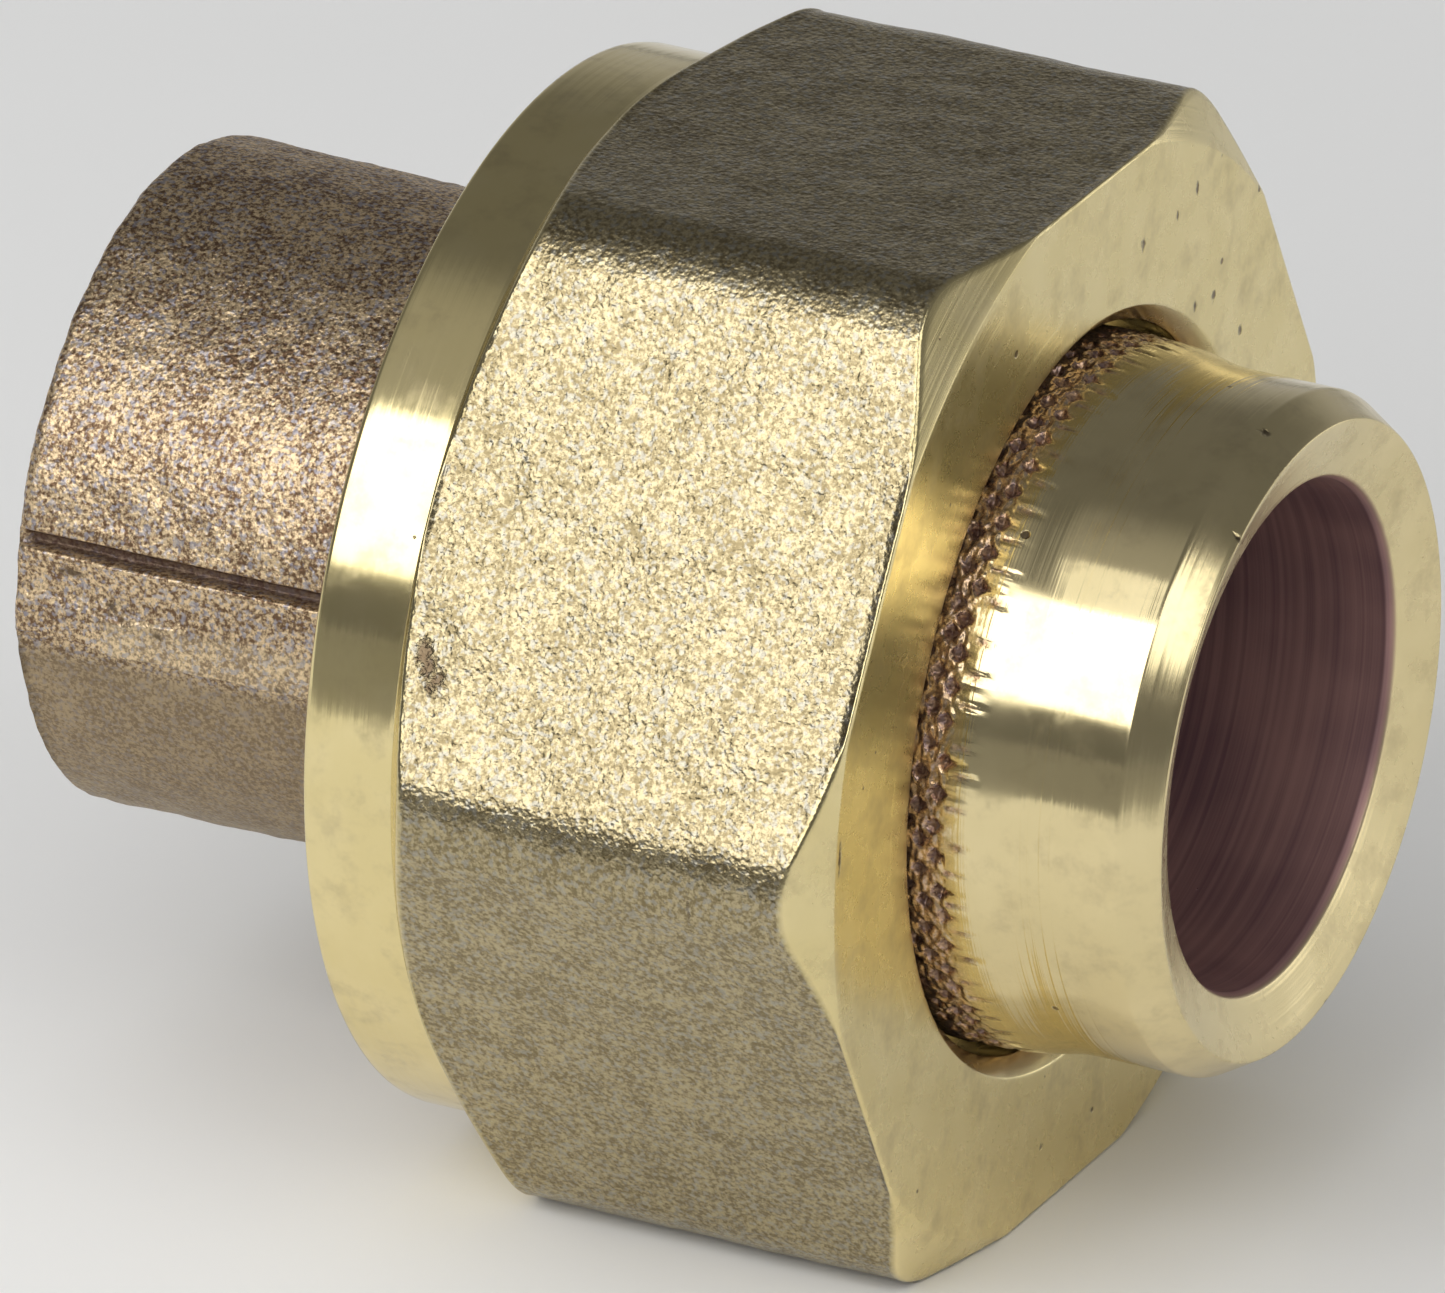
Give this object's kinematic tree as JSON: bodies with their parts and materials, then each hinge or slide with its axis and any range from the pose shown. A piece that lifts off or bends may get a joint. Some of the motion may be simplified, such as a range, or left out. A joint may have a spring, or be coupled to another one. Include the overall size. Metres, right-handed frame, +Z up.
{
  "type": "pipe union",
  "caption": "Straight pipe union: cast body and turned tailpiece with plain solder sockets, drawn together on a flat gasket by a hexagon union nut.",
  "frame": {"origin": "on the tube axis at half the overall length", "axes": "+X along the tube axis towards the open end of the tailpiece; +Z up, square to a flat of the nut; +Y across two corners of the nut"},
  "size_m": [0.0366, 0.0356, 0.0316],
  "materials": {
    "cast_gunmetal": "rough sand-cast skin, slightly red",
    "fibre_gasket": "dull pressed fibre",
    "turned_gunmetal": "fine turned, bright",
    "forged_brass": "blasted forging with turned face and band"
  },
  "bodies": {
    "body": {"body": "cast_gunmetal"},
    "gasket": {"gasket": "fibre_gasket"},
    "tailpiece": {"tailpiece": "turned_gunmetal"},
    "union_nut": {"union_nut": "forged_brass"}
  },
  "joints": [
    {"name": "draw_off", "type": "slide", "parent": "body", "child": "gasket", "axis": [1, 0, 0], "range_m": [0, 0.0097]},
    {"name": "tail_swivel", "type": "hinge", "parent": "gasket", "child": "tailpiece", "pos_m": [0.006, 0, 0], "axis": [1, 0, 0], "continuous": true},
    {"name": "nut_turn", "type": "hinge", "parent": "gasket", "child": "union_nut", "pos_m": [0.004, 0, 0], "axis": [1, 0, 0], "range_deg": [0, 1920]}
  ],
  "couplings": [
    {"joint": "draw_off", "follows": "nut_turn", "m_per_rad": 0.00028875}
  ]
}
